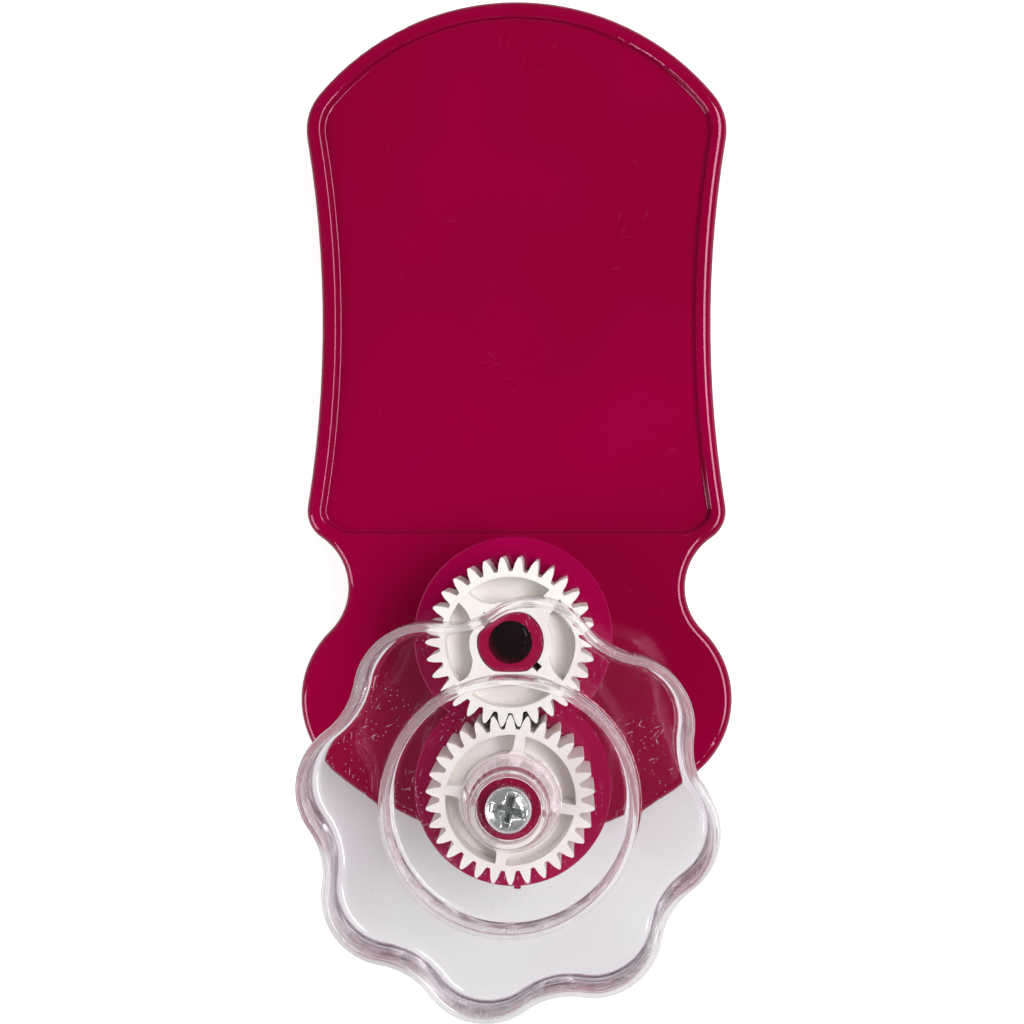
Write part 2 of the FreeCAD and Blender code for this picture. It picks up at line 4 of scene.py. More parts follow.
import bmesh
import bpy
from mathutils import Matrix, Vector


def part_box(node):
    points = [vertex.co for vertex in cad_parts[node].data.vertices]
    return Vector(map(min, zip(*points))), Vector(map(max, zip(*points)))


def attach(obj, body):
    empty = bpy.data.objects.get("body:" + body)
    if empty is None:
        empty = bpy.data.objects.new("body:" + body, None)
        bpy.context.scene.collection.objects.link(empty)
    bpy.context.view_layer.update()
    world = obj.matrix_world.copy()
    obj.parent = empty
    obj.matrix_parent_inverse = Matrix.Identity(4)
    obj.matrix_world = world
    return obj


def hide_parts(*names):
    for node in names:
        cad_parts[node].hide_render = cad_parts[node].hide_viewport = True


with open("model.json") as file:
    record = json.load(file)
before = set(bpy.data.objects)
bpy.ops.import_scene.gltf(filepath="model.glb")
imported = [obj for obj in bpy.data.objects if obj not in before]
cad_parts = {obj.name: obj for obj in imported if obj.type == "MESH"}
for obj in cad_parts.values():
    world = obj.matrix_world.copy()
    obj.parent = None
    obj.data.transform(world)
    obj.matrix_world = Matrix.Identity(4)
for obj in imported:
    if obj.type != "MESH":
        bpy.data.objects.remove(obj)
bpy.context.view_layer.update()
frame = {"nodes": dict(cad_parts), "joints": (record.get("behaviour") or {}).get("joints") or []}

# ---- paddle ------------------------------------------------------------------
# One hollow moulding in gloss magenta styrene: the handle's shallow panel inside
# its bead, the bulged head, and the hollow post that the idler gears turn on.
# It is as bright as its polished mould, with hairline rubs from handling.
MM = 0.001
MAGENTA = (0.300, 0.0003, 0.042, 1)
MAGENTA_DEEP = (0.258, 0.0002, 0.031, 1)
MAGENTA_RUBBED = (0.42, 0.03, 0.11, 1)
STYRENE_IOR = 1.57
STYRENE_TINT = (1.0, 0.62, 0.80, 1)     # its gloss is a little pink
POLISHED = 0.05                         # roughness, straight from the mould
POLISH_DRIFT = 0.04                     # what the deeper clouds add to it
COLOUR_DRIFT = 45 * MM                  # size of the clouds of deeper colour
ORANGE_PEEL = 1.1 * MM
RUB_DIRECTIONS = (15, 70, -40)          # degrees in plan
RUBBED_PATCH = 14 * MM
RUB_STRENGTH = 0.25                     # how far a rub changes colour and gloss
RUB_RELIEF = 0.5                        # its depth, next to the orange peel's
SPECK_STRENGTH = 0.35


def add(tree, kind, inputs=(), **settings):
    """Put one node in a tree, with its settings and its input values or links."""
    made = tree.nodes.new("ShaderNode" + kind)
    for name, value in settings.items():
        setattr(made, name, value)
    for name, value in dict(inputs).items():
        socket = made.inputs[name]
        if isinstance(value, bpy.types.NodeSocket):
            tree.links.new(value, socket)
        else:
            socket.default_value = value
    return made


def new_material(name):
    """An empty material, its node tree, and the place of each point on the piece."""
    material = bpy.data.materials.new(name)
    material.use_nodes = True
    tree = material.node_tree
    tree.nodes.clear()
    place = add(tree, "TexCoord").outputs["Object"]
    return material, tree, place


def noise(tree, place, size, detail=2.0):
    """Cloudy pattern of lumps about one size, in metres."""
    return add(tree, "TexNoise", {"Vector": place, "Scale": 1 / size, "Detail": detail}).outputs["Fac"]


def fade(tree, value, low, high, to_low=0.0, to_high=1.0):
    """Carry the values between two levels smoothly onto another range."""
    levels = {"Value": value, 1: low, 2: high, 3: to_low, 4: to_high}
    return add(tree, "MapRange", levels, interpolation_type="SMOOTHSTEP").outputs[0]


def calculate(tree, operation, first, second=0.0):
    """One operation on two numbers, or on the first alone."""
    return add(tree, "Math", {0: first, 1: second}, operation=operation).outputs[0]


def mixed(tree, share, first, second):
    """The first colour, with a share of the second mixed in."""
    return add(tree, "Mix", {0: share, 6: first, 7: second}, data_type="RGBA").outputs[2]


def coordinate(tree, vector, axis):
    """One coordinate of a vector."""
    return add(tree, "SeparateXYZ", {0: vector}).outputs[axis]


def marks_in(tree, place, spacing, reach, share, stretch=1.0, turn=0.0):
    """Scattered marks in plan, 1 at their middle: round specks, or rubs if stretched."""
    slant = {"Vector": place, "Rotation": (0, 0, math.radians(turn)), "Scale": (stretch, 1, 1)}
    turned = add(tree, "Mapping", slant, vector_type="TEXTURE").outputs[0]
    cells = add(tree, "TexVoronoi", {"Vector": turned, "Scale": 1 / spacing}, voronoi_dimensions="2D")
    near = fade(tree, cells.outputs["Distance"], 0.0, reach / spacing, 1.0, 0.0)
    lot = coordinate(tree, cells.outputs["Color"], "X")
    return calculate(tree, "MULTIPLY", near, calculate(tree, "LESS_THAN", lot, share))


def hairlines(tree, place, directions, length, width, spacing, share):
    """Fine straight rubs in a few directions."""
    found = 0.0
    for turn in directions:
        rubs = marks_in(tree, place, spacing, width / 2, share, length / width, turn)
        found = calculate(tree, "MAXIMUM", rubs, found)
    return found


def gloss_plastic(name, colour, deep_colour, polish):
    """Magenta styrene: slow drift of colour, orange peel, rubs and dust."""
    material, tree, place = new_material(name)
    drift = fade(tree, noise(tree, place, COLOUR_DRIFT), 0.35, 0.65)
    rubs = hairlines(tree, place, RUB_DIRECTIONS, length=3 * MM, width=0.16 * MM,
                     spacing=1.1 * MM, share=0.3)
    patches = fade(tree, noise(tree, place, RUBBED_PATCH, detail=3.0), 0.52, 0.66)
    worn = calculate(tree, "MULTIPLY", rubs, patches)
    worn_slightly = calculate(tree, "MULTIPLY", worn, RUB_STRENGTH)
    specks = marks_in(tree, place, spacing=4 * MM, reach=0.12 * MM, share=0.5)
    specks = calculate(tree, "MULTIPLY", specks, SPECK_STRENGTH)
    base = mixed(tree, drift, colour, deep_colour)
    base = mixed(tree, worn_slightly, base, MAGENTA_RUBBED)
    base = mixed(tree, specks, base, MAGENTA_RUBBED)
    peel = noise(tree, place, ORANGE_PEEL, detail=1.0)
    height = calculate(tree, "SUBTRACT", peel, calculate(tree, "MULTIPLY", worn, RUB_RELIEF))
    bump = add(tree, "Bump", {"Height": height, "Strength": 0.06, "Distance": 0.02 * MM})
    roughness = fade(tree, drift, 0, 1, polish, polish + POLISH_DRIFT)
    roughness = calculate(tree, "ADD", roughness, worn_slightly)
    surface = add(tree, "BsdfPrincipled", {
        "Base Color": base, "Roughness": roughness, "IOR": STYRENE_IOR,
        "Specular Tint": STYRENE_TINT, "Normal": bump.outputs[0]})
    add(tree, "OutputMaterial", {"Surface": surface.outputs[0]})
    return material


magenta = gloss_plastic("magenta_styrene", MAGENTA, MAGENTA_DEEP, POLISHED)
paddle = frame["nodes"]["base_shell"]
paddle.material_slots[0].material = magenta

# ---- drive spindle -----------------------------------------------------------
# Keyed spindle in the same magenta styrene, pushed up through the paddle.  Its
# round end shows through the clear knob, as a ring about the screw's head.
spindle = frame["nodes"]["drive_spindle"]
spindle.material_slots[0].material = magenta

# ---- fine gears --------------------------------------------------------------
# Two 45-tooth gears in white acetal, next to the paddle.  The drive gear is
# slipped over the spindle's keys, and the idler turns on the paddle's post.
ACETAL = (0.86, 0.825, 0.785, 1)
ACETAL_WARM = (0.83, 0.775, 0.755, 1)
ACETAL_DUST = (0.66, 0.60, 0.56, 1)
ACETAL_IOR = 1.48
ACETAL_BLEED = (1.0, 0.85, 0.8)         # red goes furthest through it
ACETAL_DEPTH = 0.8 * MM                 # how far light does
WARM_PATCH = 6 * MM
DUST_PATCH = 0.7 * MM
DUST_STRENGTH = 0.25
ACETAL_GRAIN = 0.25 * MM
ACETAL_ROUGHNESS = (0.30, 0.42)         # least and most


def white_plastic(name):
    """White acetal: waxy, a little see-through, with warmer and dusty patches."""
    material, tree, place = new_material(name)
    drift = fade(tree, noise(tree, place, WARM_PATCH), 0.4, 0.65)
    dust = fade(tree, noise(tree, place, DUST_PATCH, detail=4.0), 0.62, 0.75)
    base = mixed(tree, drift, ACETAL, ACETAL_WARM)
    base = mixed(tree, calculate(tree, "MULTIPLY", dust, DUST_STRENGTH), base, ACETAL_DUST)
    grain = noise(tree, place, ACETAL_GRAIN)
    bump = add(tree, "Bump", {"Height": grain, "Strength": 0.2, "Distance": 0.02 * MM})
    roughness = fade(tree, grain, 0.3, 0.7, *ACETAL_ROUGHNESS)
    surface = add(tree, "BsdfPrincipled", {
        "Base Color": base, "Roughness": roughness, "IOR": ACETAL_IOR, "Normal": bump.outputs[0],
        "Subsurface Weight": 0.35, "Subsurface Radius": ACETAL_BLEED,
        "Subsurface Scale": ACETAL_DEPTH})
    add(tree, "OutputMaterial", {"Surface": surface.outputs[0]})
    return material


acetal = white_plastic("white_acetal")
for name in ("fine_drive_gear", "fine_idler_gear"):
    frame["nodes"][name].material_slots[0].material = acetal

# ---- divider plate -----------------------------------------------------------
# Thin figure-of-eight plate in a brighter batch of the magenta styrene, with a
# stub of its gate left on the edge.  It is dropped over the post and the spindle
# between the two pairs of gears.
DIVIDER = (0.355, 0.0004, 0.064, 1)
DIVIDER_DEEP = (0.320, 0.0003, 0.052, 1)
DIVIDER_POLISH = 0.07
divider = frame["nodes"]["divider_plate"]
divider.material_slots[0].material = gloss_plastic(
    "divider_styrene", DIVIDER, DIVIDER_DEEP, DIVIDER_POLISH)

# ---- coarse gears ------------------------------------------------------------
# Two 30-tooth gears in the same white acetal, with deep pockets and swept
# spokes, the one on the spindle's keys and the other on the paddle's post.
for name in ("coarse_drive_gear", "coarse_idler_gear"):
    frame["nodes"][name].material_slots[0].material = acetal

# ---- knob --------------------------------------------------------------------
# Clear styrene dish with eight finger lobes, a round stiffening wall and a
# tapered hub, slipped over the spindle's keys.  Its floor and rim are scuffed.
KNOB_AXIS = Vector(frame["joints"][0]["pos_m"])
knob_low, knob_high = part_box("grip_knob")
BOSS = 0.3 * MM               # height of the boss that bears on the drive gear
BOSS_WALL = 1.0 * MM
BOSS_EDGE = 0.15 * MM         # each EDGE and FILLET is the radius of a rounded corner
FLOOR = 2.0 * MM              # thickness of the dish
ROUND_PART = 20.6 * MM        # the dish is round out to here,
LOBED_BAND = 4.0 * MM         # and lobed from this far inside its rim
LOBES = 8
LOBE_RADIUS = 9.6 * MM
LOBE_TIP = 29.44 * MM         # from the axis, as is HOLLOW_FOOT
HOLLOW_FOOT = 26.45 * MM
FIRST_LOBE = math.radians(-9)
SIDES_PER_LOBE = 48
ARC_STEPS = 8                 # flats in each rounded corner of a profile
SHARP_ANGLE = math.radians(35)
RIM_WALL = 1.1 * MM
RIM_DRAFT = 0.15 * MM         # what the wall gains in thickness down to the floor
RIM_FOOT_EDGE = 0.30 * MM
RIM_OUTER_EDGE = 0.50 * MM
RIM_INNER_EDGE = 0.40 * MM
RIM_FILLET = 1.30 * MM
RING = 17.5 * MM              # radius of the round wall's middle
RING_FOOT = 0.65 * MM         # half its thickness
RING_TOP = 0.45 * MM
RING_HEIGHT = 5.2 * MM
RING_EDGE = 0.30 * MM
RING_FILLET = 0.60 * MM
HUB_FOOT = 6.9 * MM           # radii of the hub, its well and its holes
HUB_TOP = 5.25 * MM
HUB_HEIGHT = 6.1 * MM
HUB_EDGE = 0.25 * MM
HUB_FILLET = 0.90 * MM
WELL = 4.57 * MM
WELL_DEPTH = 2.1 * MM
WELL_EDGE = 0.20 * MM
SEAT = 1.6 * MM               # thickness of the floor under the screw's head
SCREW_HOLE = 1.75 * MM
SPINDLE_GAP = 0.06 * MM       # the seat's underside stays clear of the spindle's end
BORE = 4.75 * MM
KEY_REACH = 5.65 * MM
KEY_HALF_WIDTH = 0.55 * MM


def lobed(inset):
    """Radius by angle of lobes and hollows, arcs that touch, moved inwards."""
    centre = LOBE_TIP - LOBE_RADIUS
    half_step = math.pi / LOBES
    spread = math.cos(half_step)
    # The hollow's radius follows from the distance between the two arcs' centres.
    top = centre ** 2 + HOLLOW_FOOT ** 2 - LOBE_RADIUS ** 2 - 2 * centre * HOLLOW_FOOT * spread
    hollow = top / (2 * (LOBE_RADIUS - HOLLOW_FOOT + centre * spread))
    hollow_centre = HOLLOW_FOOT + hollow
    share = (LOBE_RADIUS - inset) / (LOBE_RADIUS + hollow)
    across = hollow_centre * math.sin(half_step) * share
    along = centre + (hollow_centre * spread - centre) * share
    joint = math.atan2(across, along)

    def radius(angle):
        turn = (angle - FIRST_LOBE + half_step) % (2 * half_step) - half_step
        if abs(turn) < joint:
            reach = (LOBE_RADIUS - inset) ** 2 - (centre * math.sin(turn)) ** 2
            return centre * math.cos(turn) + math.sqrt(reach)
        turn = half_step - abs(turn)
        reach = (hollow + inset) ** 2 - (hollow_centre * math.sin(turn)) ** 2
        return hollow_centre * math.cos(turn) - math.sqrt(reach)

    return radius


def keyed(angle):
    """Radius by angle of a round bore with two opposite keyways."""
    turn = (angle - FIRST_LOBE + math.pi / 2) % math.pi - math.pi / 2
    if abs(math.sin(turn)) * KEY_REACH < KEY_HALF_WIDTH:
        return KEY_REACH
    return BORE


def fixed(reach):
    """Radius by angle of a circle."""
    return lambda angle: reach


def rounded(corners):
    """Profile through (across, up, rounding) corners, each rounded with an arc."""
    points = []
    for number, (across, up, rounding) in enumerate(corners):
        corner = Vector((across, up))
        if not rounding:
            points.append(corner)
            continue
        before = (Vector(corners[number - 1][:2]) - corner).normalized()
        after = (Vector(corners[number + 1][:2]) - corner).normalized()
        half = before.angle(after) / 2
        middle = corner + (before + after).normalized() * rounding / math.sin(half)
        start = (corner + before * rounding / math.tan(half) - middle).normalized()
        end = (corner + after * rounding / math.tan(half) - middle).normalized()
        for step in range(ARC_STEPS + 1):
            points.append(middle + start.slerp(end, step / ARC_STEPS) * rounding)
    return points


def band(mesh, lower, upper):
    """Four-sided faces between two rings of points."""
    for a, b, c, d in zip(lower, lower[1:] + lower[:1], upper[1:] + upper[:1], upper):
        mesh.faces.new((a, b, c, d))


def finished(name, mesh):
    """Turn a bmesh into an object with smooth faces and crisp corners."""
    bmesh.ops.recalc_face_normals(mesh, faces=mesh.faces)
    for face in mesh.faces:
        face.smooth = True
    for edge in mesh.edges:
        edge.smooth = edge.calc_face_angle(0) < SHARP_ANGLE
    data = bpy.data.meshes.new(name)
    mesh.to_mesh(data)
    mesh.free()
    made = bpy.data.objects.new(name, data)
    bpy.context.scene.collection.objects.link(made)
    return made


def turned_mesh(name, stations, sides):
    """Closed skin through rings of points; a station is (radius by angle, z)."""
    mesh = bmesh.new()
    rings = []
    for radius, z in stations:
        ring = []
        for number in range(sides):
            angle = 2 * math.pi * number / sides
            reach = radius(angle)
            ring.append(mesh.verts.new((reach * math.cos(angle), reach * math.sin(angle), z)))
        rings.append(ring)
    for lower, upper in zip(rings, rings[1:] + rings[:1]):
        band(mesh, lower, upper)
    return finished(name, mesh)


underside = knob_low.z + BOSS
floor_z = underside + FLOOR
rim_z = knob_high.z
ring_z = floor_z + RING_HEIGHT
hub_z = floor_z + HUB_HEIGHT
seat_z = hub_z - WELL_DEPTH
spindle_z = seat_z - SEAT + SPINDLE_GAP

rim_profile = rounded([       # here across is inwards from the lobed outline
    (LOBED_BAND, underside, 0),
    (0, underside, RIM_FOOT_EDGE),
    (0, rim_z, RIM_OUTER_EDGE),
    (RIM_WALL, rim_z, RIM_INNER_EDGE),
    (RIM_WALL + RIM_DRAFT, floor_z, RIM_FILLET),
    (LOBED_BAND, floor_z, 0),
])
inner_profile = rounded([
    (ROUND_PART, floor_z, 0),
    (RING + RING_FOOT, floor_z, RING_FILLET),
    (RING + RING_TOP, ring_z, RING_EDGE),
    (RING - RING_TOP, ring_z, RING_EDGE),
    (RING - RING_FOOT, floor_z, RING_FILLET),
    (HUB_FOOT, floor_z, HUB_FILLET),
    (HUB_TOP, hub_z, HUB_EDGE),
    (WELL, hub_z, WELL_EDGE),
    (WELL, seat_z, WELL_EDGE),
    (SCREW_HOLE, seat_z, 0),
    (SCREW_HOLE, spindle_z, 0),
])
boss_profile = rounded([
    (HUB_FOOT - BOSS_WALL, knob_low.z, 0),
    (HUB_FOOT, knob_low.z, BOSS_EDGE),
    (HUB_FOOT, underside, 0),
    (ROUND_PART, underside, 0),
])
knob_stations = [(lobed(inset), z) for inset, z in rim_profile]
knob_stations += [(fixed(reach), z) for reach, z in inner_profile]
knob_stations += [(keyed, spindle_z), (keyed, knob_low.z)]
knob_stations += [(fixed(reach), z) for reach, z in boss_profile]
knob = turned_mesh("clear_knob", knob_stations, SIDES_PER_LOBE * LOBES)
knob.location = (KNOB_AXIS.x, KNOB_AXIS.y, 0)

CLEAR = (0.980, 0.962, 0.982, 1)
# greyer tint laid in random clouds: painted shade for the uneven shade seen through the knob
CLEAR_SHADE_CLOUDS = (0.91, 0.85, 0.90, 1)
CLEAR_CREST = (0.97, 0.95, 0.975, 1)
CLEAR_UPRIGHT = (0.90, 0.79, 0.88, 1)
CLEAR_SCUFFED = (0.85, 0.83, 0.86, 1)
CLEAR_IOR = 1.50
CLEAR_ROUGHNESS = (0.03, 0.30)          # from clear to hazy
SHADE_CLOUD_SIZE = 26 * MM
SCRATCH_DIRECTIONS = (80, 55, 108, 20)  # degrees in plan
SCRATCHED_PATCH = 9 * MM
SCUFF_DEPTH = 0.2 * MM        # scuffs lie above this depth in the floor
SCUFF_HAZE = 0.7
DRAW_LINE = 1.6 * MM
DRAW_LINE_HAZE = (0.14, 0.28)           # least and most, on the upright walls
CREST_WEAR = 0.5 * MM         # wear begins this far below the round wall's top,
CREST_WORN = 0.1 * MM         # and is at its full here
CREST_HAZE = 0.30
HAZY = 0.02                   # what is hazier than this has the milky colours
RIPPLE = 5 * MM


def clear_plastic(name):
    """Clear styrene with a faint lilac cast, random clouds of painted shade, milky walls, hairlines
    and scuffs.
    """
    material, tree, place = new_material(name)
    height = coordinate(tree, place, "Z")
    scratches = hairlines(tree, place, SCRATCH_DIRECTIONS, length=2.0 * MM, width=0.07 * MM,
                          spacing=0.6 * MM, share=0.4)
    specks = marks_in(tree, place, spacing=0.9 * MM, reach=0.10 * MM, share=0.6)
    patches = fade(tree, noise(tree, place, SCRATCHED_PATCH, detail=3.0), 0.36, 0.58)
    marks = calculate(tree, "MULTIPLY", calculate(tree, "MAXIMUM", scratches, specks), patches)
    top_side = calculate(tree, "GREATER_THAN", height, floor_z - SCUFF_DEPTH)
    marks = calculate(tree, "MULTIPLY", marks, top_side)
    facing = add(tree, "TexCoord").outputs["Normal"]
    flatness = calculate(tree, "ABSOLUTE", coordinate(tree, facing, "Z"))
    milky = fade(tree, flatness, 0.25, 0.80, 1.0, 0.0)
    draw_lines = fade(tree, noise(tree, place, DRAW_LINE), 0.3, 0.7, *DRAW_LINE_HAZE)
    milky = calculate(tree, "MULTIPLY", milky, draw_lines)
    crests = fade(tree, height, ring_z - CREST_WEAR, ring_z - CREST_WORN, 0.0, CREST_HAZE)
    milky = calculate(tree, "MAXIMUM", milky, crests)
    ripple = noise(tree, place, RIPPLE, detail=0.0)
    bump = add(tree, "Bump", {"Height": ripple, "Strength": 0.3, "Distance": 0.06 * MM})
    # painted shade: the clear colour turns greyer in random clouds
    drift = fade(tree, noise(tree, place, SHADE_CLOUD_SIZE), 0.38, 0.66)
    base = mixed(tree, drift, CLEAR, CLEAR_SHADE_CLOUDS)
    base = mixed(tree, calculate(tree, "GREATER_THAN", milky, HAZY), base, CLEAR_UPRIGHT)
    base = mixed(tree, calculate(tree, "GREATER_THAN", crests, HAZY), base, CLEAR_CREST)
    base = mixed(tree, marks, base, CLEAR_SCUFFED)
    haze = calculate(tree, "MAXIMUM", milky, calculate(tree, "MULTIPLY", marks, SCUFF_HAZE))
    roughness = fade(tree, haze, 0, 0.6, *CLEAR_ROUGHNESS)
    clearness = fade(tree, haze, 0, 1, 1.0, 0.0)
    surface = add(tree, "BsdfPrincipled", {
        "Base Color": base, "Roughness": roughness, "IOR": CLEAR_IOR,
        "Transmission Weight": clearness, "Normal": bump.outputs[0]})
    add(tree, "OutputMaterial", {"Surface": surface.outputs[0]})
    return material


knob.data.materials.append(clear_plastic("clear_styrene"))
knob.visible_shadow = False             # thin and clear, it casts no shadow to speak of
knob.visible_diffuse = False            # and throws no patches of light
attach(knob, "knob_and_spindle")
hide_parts("grip_knob")

# ---- screw -------------------------------------------------------------------
# Zinc-plated pan-head screw for plastic, with a cross recess.  It cuts its own
# thread in the spindle, and its head bears on the floor of the knob's well.
AXIS_HOLE = 0.01 * MM         # a closed skin stops this short of its axis
SCREW_SIDES = 64
SCREW_HEAD = 3.22 * MM        # radii, and heights above the seat
SCREW_HEAD_HEIGHT = 2.5 * MM
SCREW_SIDE_TOP = 1.45 * MM
SCREW_SIDE_EDGE = 0.12 * MM
SCREW_BEVEL = 0.42 * MM
SCREW_BEVEL_TOP = 1.80 * MM
SCREW_BEVEL_EDGE = 0.10 * MM
SCREW_CROWN = 0.62 * SCREW_HEAD
SCREW_CROWN_TOP = 2.30 * MM
SCREW_CROWN_EDGE = 1.2 * MM
SCREW_FLAT = 0.5 * MM
SCREW_CORE = 1.02 * MM
SCREW_THREAD = 1.45 * MM
SCREW_PITCH = 1.27 * MM
SCREW_LENGTH = 14.0 * MM
SCREW_TIP = 0.8 * MM
THREAD_STEPS = 8              # rings of points in one turn of the thread
RECESS_MOUTH = (5.9 * MM, 1.60 * MM)    # each slot's span and width, just above the head
RECESS_FOOT = (3.2 * MM, 0.70 * MM)
RECESS_ABOVE = 0.5 * MM
RECESS_DEPTH = 1.6 * MM
RECESS_TURN = math.radians(-12.5)       # where the screw came to rest


def threaded(z):
    """Radius by angle of a helical thread at one height; its ridge takes half the pitch."""
    def radius(angle):
        phase = (z / SCREW_PITCH - angle / (2 * math.pi)) % 1
        crest = max(0.0, 1 - abs(phase - 0.5) * 4)
        return SCREW_CORE + (SCREW_THREAD - SCREW_CORE) * crest
    return radius


head_top = seat_z + SCREW_HEAD_HEIGHT
screw_foot = seat_z - SCREW_LENGTH
head_profile = rounded([
    (SCREW_THREAD, seat_z, 0),
    (SCREW_HEAD, seat_z, SCREW_SIDE_EDGE),
    (SCREW_HEAD, seat_z + SCREW_SIDE_TOP, SCREW_SIDE_EDGE),
    (SCREW_HEAD - SCREW_BEVEL, seat_z + SCREW_BEVEL_TOP, SCREW_BEVEL_EDGE),
    (SCREW_CROWN, seat_z + SCREW_CROWN_TOP, SCREW_CROWN_EDGE),
    (SCREW_FLAT, head_top, 0),
    (AXIS_HOLE, head_top, 0),
])
screw_stations = [(fixed(AXIS_HOLE), screw_foot), (fixed(SCREW_TIP), screw_foot)]
for ring in range(1, int(SCREW_LENGTH / SCREW_PITCH * THREAD_STEPS)):
    z = screw_foot + ring * SCREW_PITCH / THREAD_STEPS
    screw_stations.append((threaded(z), z))
screw_stations += [(fixed(reach), z) for reach, z in head_profile]
screw = turned_mesh("cross_recess_screw", screw_stations, SCREW_SIDES)


def slot_ring(mesh, turn, z, span, width):
    """The four corners of a turned slot at one height."""
    along = Vector((math.cos(turn), math.sin(turn), 0))
    aside = Vector((-math.sin(turn), math.cos(turn), 0))
    ring = []
    for x, y in ((-1, -1), (1, -1), (1, 1), (-1, 1)):
        corner = along * x * span / 2 + aside * y * width / 2 + Vector((0, 0, z))
        ring.append(mesh.verts.new(corner))
    return ring


recess = bmesh.new()
for turn in (RECESS_TURN, RECESS_TURN + math.pi / 2):
    mouth = slot_ring(recess, turn, head_top + RECESS_ABOVE, *RECESS_MOUTH)
    foot = slot_ring(recess, turn, head_top - RECESS_DEPTH, *RECESS_FOOT)
    recess.faces.new(foot)
    recess.faces.new(mouth)
    band(recess, foot, mouth)
cutter = finished("recess_cutter", recess)
cutting = screw.modifiers.new("recess", "BOOLEAN")
cutting.operation = "DIFFERENCE"
cutting.solver = "EXACT"
cutting.use_self = True                 # the two slots cross
cutting.object = cutter
cut_mesh = bpy.data.meshes.new_from_object(screw.evaluated_get(bpy.context.evaluated_depsgraph_get()))
screw.modifiers.clear()
screw.data = cut_mesh
bpy.data.objects.remove(cutter)
screw.location = (KNOB_AXIS.x, KNOB_AXIS.y, 0)

ZINC = (0.88, 0.90, 0.90, 1)
# the dull colour also serves as painted shade in the recess and under the crown
ZINC_DULL_AND_SHADE = (0.38, 0.39, 0.40, 1)
ZINC_ROUGHNESS = (0.18, 0.32)           # least and most
TUMBLED = 0.35 * MM           # size of the marks from tumbling
DULL_PATCH = 0.9 * MM
DULL_STRENGTH = 0.22
RECESS_SHADE_STRENGTH = 0.72
RECESS_SHADE_START = 0.20 * MM     # what lies this far below the head's crown is painted darker, as shade
CROWN_DROP = 90.0             # metres that the crown falls, by the square of its reach


def zinc_plate(name):
    """Bright zinc plating: fine tumbling marks, dull patches, and painted shade that darkens the
    recess and the head below its crown.
    """
    material, tree, place = new_material(name)
    tumbled = noise(tree, place, TUMBLED)
    dull = fade(tree, noise(tree, place, DULL_PATCH), 0.5, 0.7, 0.0, DULL_STRENGTH)
    flat = add(tree, "VectorMath", {0: place, 1: (1, 1, 0)}, operation="MULTIPLY")
    reach = add(tree, "VectorMath", {0: flat.outputs[0]}, operation="LENGTH").outputs["Value"]
    drop = calculate(tree, "MULTIPLY", calculate(tree, "POWER", reach, 2.0), CROWN_DROP)
    below = calculate(tree, "SUBTRACT", head_top - RECESS_SHADE_START, drop)
    # painted shade: darker below the crown's curve, in the cross recess and on the head's lower side
    recess_shade = calculate(tree, "LESS_THAN", coordinate(tree, place, "Z"), below)
    recess_shade = calculate(tree, "MULTIPLY", recess_shade, RECESS_SHADE_STRENGTH)
    base = mixed(tree, calculate(tree, "MAXIMUM", dull, recess_shade), ZINC, ZINC_DULL_AND_SHADE)
    bump = add(tree, "Bump", {"Height": tumbled, "Strength": 0.1, "Distance": 0.03 * MM})
    roughness = fade(tree, tumbled, 0.3, 0.7, *ZINC_ROUGHNESS)
    surface = add(tree, "BsdfPrincipled", {
        "Base Color": base, "Metallic": 0.8, "Roughness": roughness, "Normal": bump.outputs[0]})
    add(tree, "OutputMaterial", {"Surface": surface.outputs[0]})
    return material


screw.data.materials.append(zinc_plate("zinc_plate"))
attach(screw, "knob_and_spindle")
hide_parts("knob_screw")

# ---- table -------------------------------------------------------------------
# Plain white table under the part.  Its matt paint takes the contact shadow, and
# a glow for what looks straight at it keeps it white, less so through the knob.
WHITE = (1, 1, 1, 1)
TABLE_REACH = 1500 * MM
TABLE_SIDES = 96
TABLE_GAP = 0.02 * MM         # the table stays this far below the part
TABLE_CLOUD = 60 * MM
TABLE_PAINT = (0.55, 0.59)    # its darkest and its brightest
TABLE_GLOW = 0.73
TABLE_GLOW_THROUGH = 0.20


def white_table(name):
    """Matt white paint that also glows a little."""
    material, tree, place = new_material(name)
    cloudy = fade(tree, noise(tree, place, TABLE_CLOUD), 0.3, 0.7, *TABLE_PAINT)
    tone = add(tree, "CombineColor", {0: cloudy, 1: cloudy, 2: cloudy}).outputs[0]
    paint = add(tree, "BsdfDiffuse", {"Color": tone})
    ray = add(tree, "LightPath").outputs
    seen = calculate(tree, "MULTIPLY", ray["Is Camera Ray"], TABLE_GLOW)
    through = calculate(tree, "MULTIPLY", ray["Is Transmission Ray"], TABLE_GLOW_THROUGH)
    glow = add(tree, "Emission", {"Color": WHITE, "Strength": calculate(tree, "ADD", seen, through)})
    both = add(tree, "AddShader", {0: paint.outputs[0], 1: glow.outputs[0]})
    add(tree, "OutputMaterial", {"Surface": both.outputs[0]})
    return material


table_mesh = bmesh.new()
bmesh.ops.create_circle(table_mesh, cap_ends=True, segments=TABLE_SIDES, radius=TABLE_REACH)
table = finished("table_top", table_mesh)
table.location.z = -TABLE_GAP
table.data.materials.append(white_table("white_table"))

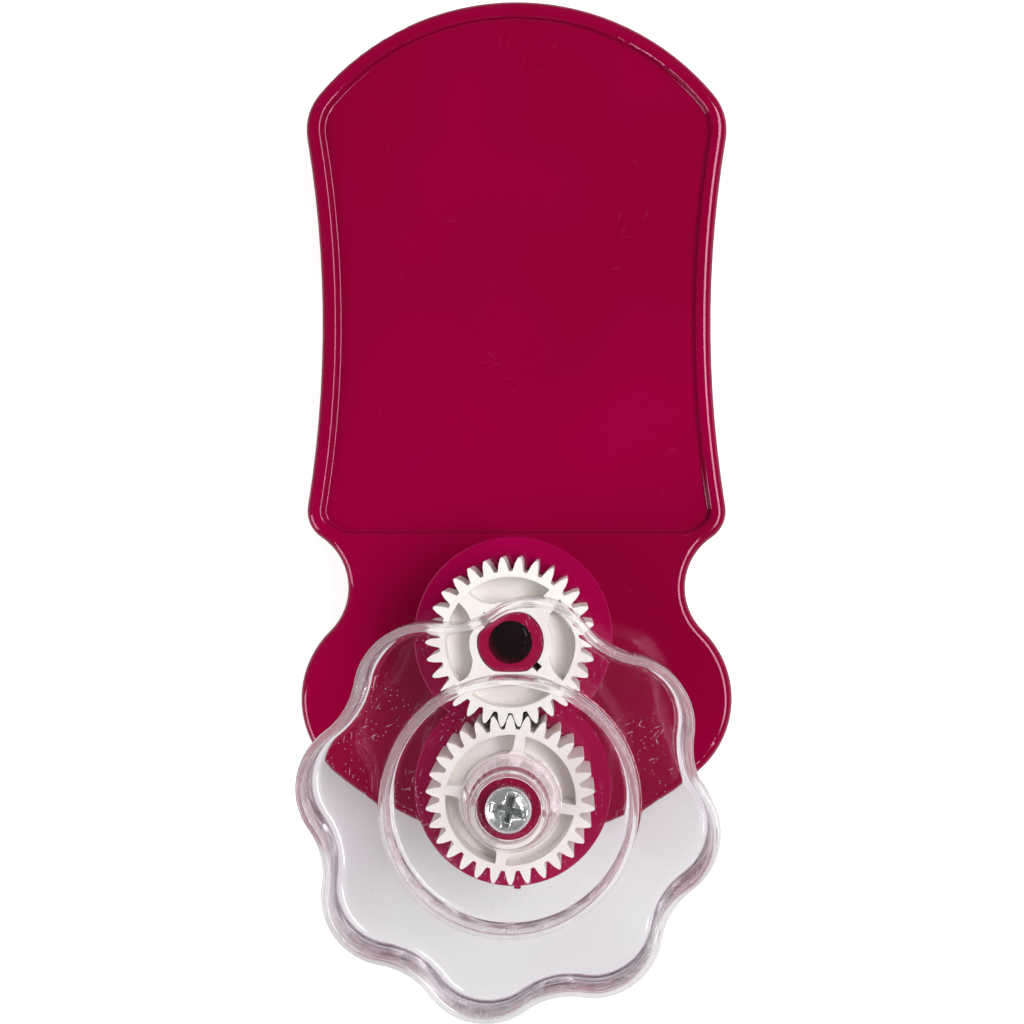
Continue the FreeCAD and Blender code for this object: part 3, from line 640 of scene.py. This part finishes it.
# ---- light and camera --------------------------------------------------------
# A long soft box on the right draws the bright line along each bead, and a lower
# one on the left lights the wings' edges and the gears' sides.  An even sky fills
# in, and is dim in what the gloss shows of it.
BACKDROP = 1.0                # the sky behind the part
SKY = 0.40                    # as it lights what is matt
SKY_IN_GLOSS = 0.07           # as the gloss shows it
ZENITH_IN_GLOSS = 0.01
HORIZON_THROUGH = 0.9         # and as it is seen through the knob
ZENITH_THROUGH = 0.12
OVERHEAD = (0.74, 0.93)       # sines of the heights between which the sky fades to its zenith


def chosen(tree, choice, otherwise, if_so):
    """One number or the other, by a socket that is 0 or 1."""
    return add(tree, "Mix", {0: choice, 2: otherwise, 3: if_so}).outputs[0]


def studio_sky(name):
    """White backdrop to look at, and an even sky for all else."""
    world = bpy.data.worlds.new(name)
    world.use_nodes = True
    tree = world.node_tree
    tree.nodes.clear()
    direction = add(tree, "TexCoord").outputs["Generated"]
    height = coordinate(tree, direction, "Z")
    in_gloss = fade(tree, height, *OVERHEAD, SKY_IN_GLOSS, ZENITH_IN_GLOSS)
    through = fade(tree, height, *OVERHEAD, HORIZON_THROUGH, ZENITH_THROUGH)
    ray = add(tree, "LightPath").outputs
    strength = chosen(tree, ray["Is Glossy Ray"], SKY, in_gloss)
    strength = chosen(tree, ray["Is Transmission Ray"], strength, through)
    strength = chosen(tree, ray["Is Camera Ray"], strength, BACKDROP)
    sky = add(tree, "Background", {"Color": WHITE, "Strength": strength})
    add(tree, "OutputWorld", {"Surface": sky.outputs[0]})
    return world


bpy.context.scene.world = studio_sky("studio")

AIM = Vector((0, 0, 15 * MM))
SOFT_BOXES = {
    # name: (place in metres, depth, length along the floor, watts)
    "right_box": ((0.36, 0.06, 0.60), 0.24, 0.60, 3.9),
    "left_strip": ((-0.58, -0.22, 0.34), 0.30, 0.30, 1.7),
}
for name, (place, depth, length, watts) in SOFT_BOXES.items():
    lamp = bpy.data.lights.new(name, "AREA")
    lamp.shape = "RECTANGLE"
    lamp.size = depth
    lamp.size_y = length
    lamp.energy = watts
    box = bpy.data.objects.new(name, lamp)
    box.location = place
    box.rotation_euler = (AIM - Vector(place)).to_track_quat("-Z", "X").to_euler()
    bpy.context.scene.collection.objects.link(box)

CAMERA_HEIGHT = 234 * MM
CAMERA_RIGHT = 8.5 * MM       # from the knob's axis, as is CAMERA_UP
CAMERA_UP = 40.19 * MM
SENSOR_WIDTH = 36             # in the camera's own millimetres
IMAGE_SIDE = 1024             # in pixels, as are the next two
FOCAL_LENGTH = 1420
STRAIGHT_DOWN = (570, 518)    # the point of the image under the camera, from its top left
lens = bpy.data.cameras.new("camera")
lens.sensor_width = SENSOR_WIDTH
lens.lens = SENSOR_WIDTH * FOCAL_LENGTH / IMAGE_SIDE
lens.shift_x = 0.5 - STRAIGHT_DOWN[0] / IMAGE_SIDE
lens.shift_y = STRAIGHT_DOWN[1] / IMAGE_SIDE - 0.5
lens.clip_start = 10 * MM
camera = bpy.data.objects.new("camera", lens)
camera.location = (KNOB_AXIS.x + CAMERA_RIGHT, KNOB_AXIS.y + CAMERA_UP, CAMERA_HEIGHT)
bpy.context.scene.collection.objects.link(camera)
bpy.context.scene.camera = camera
bpy.context.scene.view_settings.view_transform = "Standard"

bpy.context.view_layer.update()
